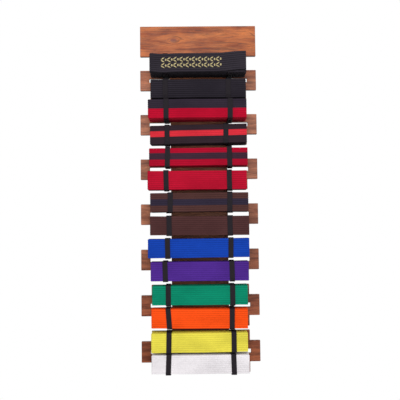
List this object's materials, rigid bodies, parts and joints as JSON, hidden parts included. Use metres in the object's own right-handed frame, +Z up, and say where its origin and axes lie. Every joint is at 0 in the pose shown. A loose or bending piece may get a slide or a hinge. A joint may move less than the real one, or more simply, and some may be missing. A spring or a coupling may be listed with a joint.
{
  "type": "martial arts belt display board",
  "caption": "Wall-hung slotted wooden board with a row of folded martial arts rank belts, each held on its plate by elastic bands.",
  "frame": {"origin": "hanging point: the middle notch of the sawtooth hanger, on the board's back face", "axes": "+Z up along the board's length, +Y into the wall, -Y out of the board's front, +X to the viewer's right"},
  "size_m": [0.236, 0.0602, 0.7013],
  "materials": {
    "board_wood": "stained, satin",
    "hanger_steel": "zinc plated",
    "pad_felt": "felt",
    "elastic": "ribbed woven elastic",
    "belt_black_ornament": "stitched cotton",
    "belt_black": "stitched cotton",
    "belt_black_red": "stitched cotton",
    "belt_black_red_stripe": "stitched cotton",
    "belt_red_black_stripe": "stitched cotton",
    "belt_red": "stitched cotton",
    "belt_brown_black_stripe": "stitched cotton",
    "belt_brown": "stitched cotton",
    "belt_blue": "stitched cotton",
    "belt_purple": "stitched cotton",
    "belt_green": "stitched cotton",
    "belt_orange": "stitched cotton",
    "belt_yellow": "stitched cotton",
    "belt_white": "stitched cotton"
  },
  "bodies": {
    "board": {"display_board": "board_wood", "sawtooth_hanger": "hanger_steel", "hanger_nails": "hanger_steel", "wall_pads": "pad_felt"},
    "belt_01_black_ornament": {"belt_01_black_ornament": "belt_black_ornament"},
    "belt_02_black": {"belt_02_black": "belt_black"},
    "belt_03_black_red": {"belt_03_black_red": "belt_black_red"},
    "belt_04_black_red_stripe": {"belt_04_black_red_stripe": "belt_black_red_stripe"},
    "belt_05_red_black_stripe": {"belt_05_red_black_stripe": "belt_red_black_stripe"},
    "belt_06_red": {"belt_06_red": "belt_red"},
    "belt_07_brown_black_stripe": {"belt_07_brown_black_stripe": "belt_brown_black_stripe"},
    "belt_08_brown": {"belt_08_brown": "belt_brown"},
    "belt_09_blue": {"belt_09_blue": "belt_blue"},
    "belt_10_purple": {"belt_10_purple": "belt_purple"},
    "belt_11_green": {"belt_11_green": "belt_green"},
    "belt_12_orange": {"belt_12_orange": "belt_orange"},
    "belt_13_yellow": {"belt_13_yellow": "belt_yellow"},
    "belt_14_white": {"belt_14_white": "belt_white"},
    "band_01_left": {"band_01_left": "elastic"},
    "band_01_right": {"band_01_right": "elastic"},
    "band_02_left": {"band_02_left": "elastic"},
    "band_02_right": {"band_02_right": "elastic"},
    "band_03_left": {"band_03_left": "elastic"},
    "band_03_right": {"band_03_right": "elastic"},
    "band_04_left": {"band_04_left": "elastic"},
    "band_04_right": {"band_04_right": "elastic"},
    "band_05_left": {"band_05_left": "elastic"},
    "band_05_right": {"band_05_right": "elastic"},
    "band_06_left": {"band_06_left": "elastic"},
    "band_06_right": {"band_06_right": "elastic"},
    "band_07_left": {"band_07_left": "elastic"},
    "band_07_right": {"band_07_right": "elastic"},
    "band_08_left": {"band_08_left": "elastic"},
    "band_08_right": {"band_08_right": "elastic"},
    "band_09_left": {"band_09_left": "elastic"},
    "band_09_right": {"band_09_right": "elastic"},
    "band_10_left": {"band_10_left": "elastic"},
    "band_10_right": {"band_10_right": "elastic"},
    "band_11_left": {"band_11_left": "elastic"},
    "band_11_right": {"band_11_right": "elastic"},
    "band_12_left": {"band_12_left": "elastic"},
    "band_12_right": {"band_12_right": "elastic"},
    "band_13_left": {"band_13_left": "elastic"},
    "band_13_right": {"band_13_right": "elastic"},
    "band_14_left": {"band_14_left": "elastic"},
    "band_14_right": {"band_14_right": "elastic"}
  },
  "joints": [
    {"name": "belt_01_black_ornament_slide", "type": "slide", "parent": "board", "child": "belt_01_black_ornament", "axis": [1, 0, 0], "range_m": [-0.165, 0]},
    {"name": "belt_02_black_slide", "type": "slide", "parent": "board", "child": "belt_02_black", "axis": [1, 0, 0], "range_m": [-0.165, 0.165]},
    {"name": "belt_03_black_red_slide", "type": "slide", "parent": "board", "child": "belt_03_black_red", "axis": [1, 0, 0], "range_m": [-0.165, 0.165]},
    {"name": "belt_04_black_red_stripe_slide", "type": "slide", "parent": "board", "child": "belt_04_black_red_stripe", "axis": [1, 0, 0], "range_m": [-0.165, 0.165]},
    {"name": "belt_05_red_black_stripe_slide", "type": "slide", "parent": "board", "child": "belt_05_red_black_stripe", "axis": [1, 0, 0], "range_m": [-0.165, 0.165]},
    {"name": "belt_06_red_slide", "type": "slide", "parent": "board", "child": "belt_06_red", "axis": [1, 0, 0], "range_m": [-0.165, 0.165]},
    {"name": "belt_07_brown_black_stripe_slide", "type": "slide", "parent": "board", "child": "belt_07_brown_black_stripe", "axis": [1, 0, 0], "range_m": [-0.165, 0.165]},
    {"name": "belt_08_brown_slide", "type": "slide", "parent": "board", "child": "belt_08_brown", "axis": [1, 0, 0], "range_m": [-0.165, 0.165]},
    {"name": "belt_09_blue_slide", "type": "slide", "parent": "board", "child": "belt_09_blue", "axis": [1, 0, 0], "range_m": [-0.165, 0.165]},
    {"name": "belt_10_purple_slide", "type": "slide", "parent": "board", "child": "belt_10_purple", "axis": [1, 0, 0], "range_m": [-0.165, 0.165]},
    {"name": "belt_11_green_slide", "type": "slide", "parent": "board", "child": "belt_11_green", "axis": [1, 0, 0], "range_m": [-0.165, 0.165]},
    {"name": "belt_12_orange_slide", "type": "slide", "parent": "board", "child": "belt_12_orange", "axis": [1, 0, 0], "range_m": [-0.165, 0.165]},
    {"name": "belt_13_yellow_slide", "type": "slide", "parent": "board", "child": "belt_13_yellow", "axis": [1, 0, 0], "range_m": [-0.165, 0.165]},
    {"name": "belt_14_white_slide", "type": "slide", "parent": "board", "child": "belt_14_white", "axis": [1, 0, 0], "range_m": [-0.165, 0.165]},
    {"name": "band_01_left_slide", "type": "slide", "parent": "board", "child": "band_01_left", "axis": [-1, 0, 0], "range_m": [-0.0025, 0.018]},
    {"name": "band_01_right_slide", "type": "slide", "parent": "board", "child": "band_01_right", "axis": [1, 0, 0], "range_m": [-0.0005, 0.023]},
    {"name": "band_02_left_slide", "type": "slide", "parent": "board", "child": "band_02_left", "axis": [-1, 0, 0], "range_m": [-0.0035, 0.02]},
    {"name": "band_02_right_slide", "type": "slide", "parent": "board", "child": "band_02_right", "axis": [1, 0, 0], "range_m": [0, 0.0235]},
    {"name": "band_03_left_slide", "type": "slide", "parent": "board", "child": "band_03_left", "axis": [-1, 0, 0], "range_m": [-0.0015, 0.022]},
    {"name": "band_03_right_slide", "type": "slide", "parent": "board", "child": "band_03_right", "axis": [1, 0, 0], "range_m": [0, 0.0235]},
    {"name": "band_04_left_slide", "type": "slide", "parent": "board", "child": "band_04_left", "axis": [-1, 0, 0], "range_m": [-0.0005, 0.023]},
    {"name": "band_04_right_slide", "type": "slide", "parent": "board", "child": "band_04_right", "axis": [1, 0, 0], "range_m": [0, 0.0235]},
    {"name": "band_05_left_slide", "type": "slide", "parent": "board", "child": "band_05_left", "axis": [-1, 0, 0], "range_m": [0, 0.0235]},
    {"name": "band_05_right_slide", "type": "slide", "parent": "board", "child": "band_05_right", "axis": [1, 0, 0], "range_m": [0, 0.0235]},
    {"name": "band_06_left_slide", "type": "slide", "parent": "board", "child": "band_06_left", "axis": [-1, 0, 0], "range_m": [-0.003, 0.0205]},
    {"name": "band_06_right_slide", "type": "slide", "parent": "board", "child": "band_06_right", "axis": [1, 0, 0], "range_m": [0, 0.0235]},
    {"name": "band_07_left_slide", "type": "slide", "parent": "board", "child": "band_07_left", "axis": [-1, 0, 0], "range_m": [0, 0.0235]},
    {"name": "band_07_right_slide", "type": "slide", "parent": "board", "child": "band_07_right", "axis": [1, 0, 0], "range_m": [0, 0.0235]},
    {"name": "band_08_left_slide", "type": "slide", "parent": "board", "child": "band_08_left", "axis": [-1, 0, 0], "range_m": [0, 0.0235]},
    {"name": "band_08_right_slide", "type": "slide", "parent": "board", "child": "band_08_right", "axis": [1, 0, 0], "range_m": [0, 0.0235]},
    {"name": "band_09_left_slide", "type": "slide", "parent": "board", "child": "band_09_left", "axis": [-1, 0, 0], "range_m": [-0.001, 0.0225]},
    {"name": "band_09_right_slide", "type": "slide", "parent": "board", "child": "band_09_right", "axis": [1, 0, 0], "range_m": [0, 0.0235]},
    {"name": "band_10_left_slide", "type": "slide", "parent": "board", "child": "band_10_left", "axis": [-1, 0, 0], "range_m": [-0.006, 0.0175]},
    {"name": "band_10_right_slide", "type": "slide", "parent": "board", "child": "band_10_right", "axis": [1, 0, 0], "range_m": [0, 0.0235]},
    {"name": "band_11_left_slide", "type": "slide", "parent": "board", "child": "band_11_left", "axis": [-1, 0, 0], "range_m": [-0.0005, 0.023]},
    {"name": "band_11_right_slide", "type": "slide", "parent": "board", "child": "band_11_right", "axis": [1, 0, 0], "range_m": [0, 0.0235]},
    {"name": "band_12_left_slide", "type": "slide", "parent": "board", "child": "band_12_left", "axis": [-1, 0, 0], "range_m": [-0.0005, 0.023]},
    {"name": "band_12_right_slide", "type": "slide", "parent": "board", "child": "band_12_right", "axis": [1, 0, 0], "range_m": [0, 0.0235]},
    {"name": "band_13_left_slide", "type": "slide", "parent": "board", "child": "band_13_left", "axis": [-1, 0, 0], "range_m": [0, 0.0235]},
    {"name": "band_13_right_slide", "type": "slide", "parent": "board", "child": "band_13_right", "axis": [1, 0, 0], "range_m": [-0.0015, 0.022]},
    {"name": "band_14_left_slide", "type": "slide", "parent": "board", "child": "band_14_left", "axis": [-1, 0, 0], "range_m": [-0.001, 0.0225]},
    {"name": "band_14_right_slide", "type": "slide", "parent": "board", "child": "band_14_right", "axis": [1, 0, 0], "range_m": [-0.0005, 0.023]}
  ]
}
